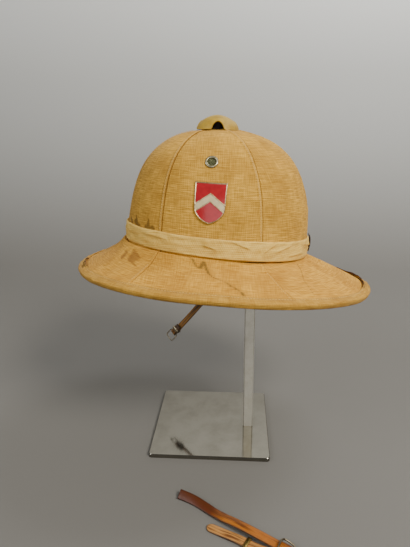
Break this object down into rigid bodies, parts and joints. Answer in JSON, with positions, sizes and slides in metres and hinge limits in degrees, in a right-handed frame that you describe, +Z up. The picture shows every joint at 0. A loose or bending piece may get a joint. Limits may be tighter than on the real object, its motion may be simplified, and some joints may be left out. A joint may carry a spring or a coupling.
{
  "type": "pith helmet on a display stand",
  "caption": "Cloth-covered pith helmet with a vent cap, hat band and shield badge on a polished steel stand, with its torn leather chin strap.",
  "frame": {"origin": "centre of the base plate's underside, on the surface that the stand rests on", "axes": "+Z up; -X towards the helmet's front, +X towards its rear; -Y towards the wearer's left side, which carries the badge"},
  "size_m": [0.3349, 0.3578, 0.3799],
  "materials": {
    "khaki_cloth": "tan cotton twill, soiled",
    "brim_cloth": "tan cotton twill, water-stained",
    "binding_cloth": "folded cotton tape, sewn",
    "band_cloth": "folded khaki cotton",
    "painted_cap": "olive-khaki satin paint",
    "dark_metal": "dark satin",
    "red_enamel": "red enamel on pressed metal, glossy",
    "dark_leather": "dark, worn",
    "eyelet_metal": "tarnished, grey-green",
    "screen_metal": "dark pierced screen",
    "nickel": "dull nickel plate",
    "brown_leather": "tan to dark brown, cracked",
    "aged_brass": "tarnished",
    "polished_steel": "mirror polished"
  },
  "bodies": {
    "root": {"crown": "khaki_cloth", "brim": "brim_cloth", "rim_binding": "binding_cloth", "hat_band": "band_cloth", "vent_cap": "painted_cap", "vent_socket": "dark_metal", "shield_badge": "red_enamel", "rear_loop": "dark_leather", "eyelet_left": "eyelet_metal", "eyelet_right": "eyelet_metal", "eyelet_screen_left": "screen_metal", "eyelet_screen_right": "screen_metal", "strap_stub": "dark_leather", "stub_ring": "nickel", "stub_keeper": "nickel", "strap_rivet": "nickel", "loose_strap": "brown_leather", "loose_buckle": "nickel", "loose_slider": "aged_brass", "stand_plate": "polished_steel", "stand_post": "polished_steel"}
  },
  "joints": []
}
